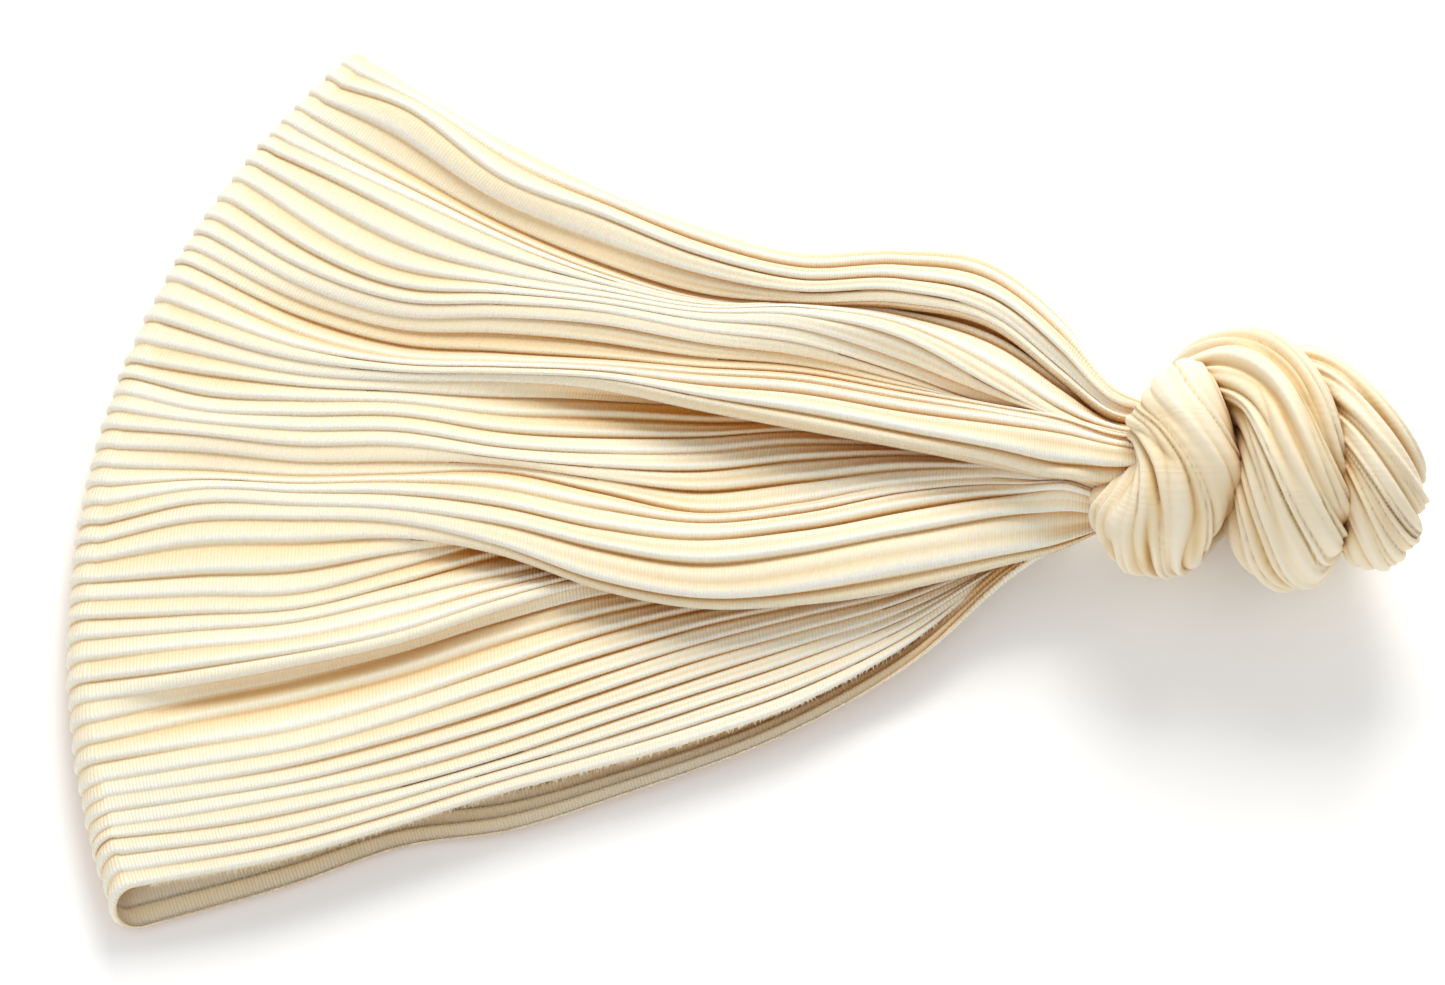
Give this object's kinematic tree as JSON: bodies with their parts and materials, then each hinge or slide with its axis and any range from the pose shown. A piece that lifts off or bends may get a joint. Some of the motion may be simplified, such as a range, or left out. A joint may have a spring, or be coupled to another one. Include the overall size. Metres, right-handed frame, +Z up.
{
  "type": "knotted headband",
  "caption": "Wide headband of pleated satin, folded flat at the nape, its ends gathered at a neck and twisted round each other into a rope-like knot.",
  "frame": {"origin": "on the table under the middle of the flattened headband's outline", "axes": "+X from the nape fold to the tip of the knot, +Z up from the table, +Y across the band towards its shorter edge"},
  "size_m": [0.246, 0.172, 0.043],
  "materials": {
    "pleated_satin": "heat-set pleated polyester satin, ivory",
    "knot_satin": "the same satin, gathered and twisted tight",
    "sewing_thread": "spun polyester sewing thread, cream"
  },
  "bodies": {
    "back_layer": {"nape_fold": "pleated_satin", "back_layer_panel": "pleated_satin"},
    "front_layer": {"front_layer_panel": "pleated_satin", "gathered_neck": "pleated_satin", "neck_binding_thread": "sewing_thread"},
    "knot": {"knot_strand_front": "knot_satin", "knot_strand_back": "knot_satin", "knot_tack_stitches": "sewing_thread", "tip_closing_stitches": "sewing_thread"}
  },
  "joints": [
    {"name": "loop_open", "type": "hinge", "parent": "back_layer", "child": "front_layer", "pos_m": [-0.11293, 0.00477, 0.012], "axis": [-0.2292, -0.9734, 0], "range_deg": [0, 15]},
    {"name": "knot_tilt", "type": "hinge", "parent": "front_layer", "child": "knot", "pos_m": [0.0611, -0.002, 0.0215], "axis": [0, -1, 0], "range_deg": [-18, 20]}
  ]
}
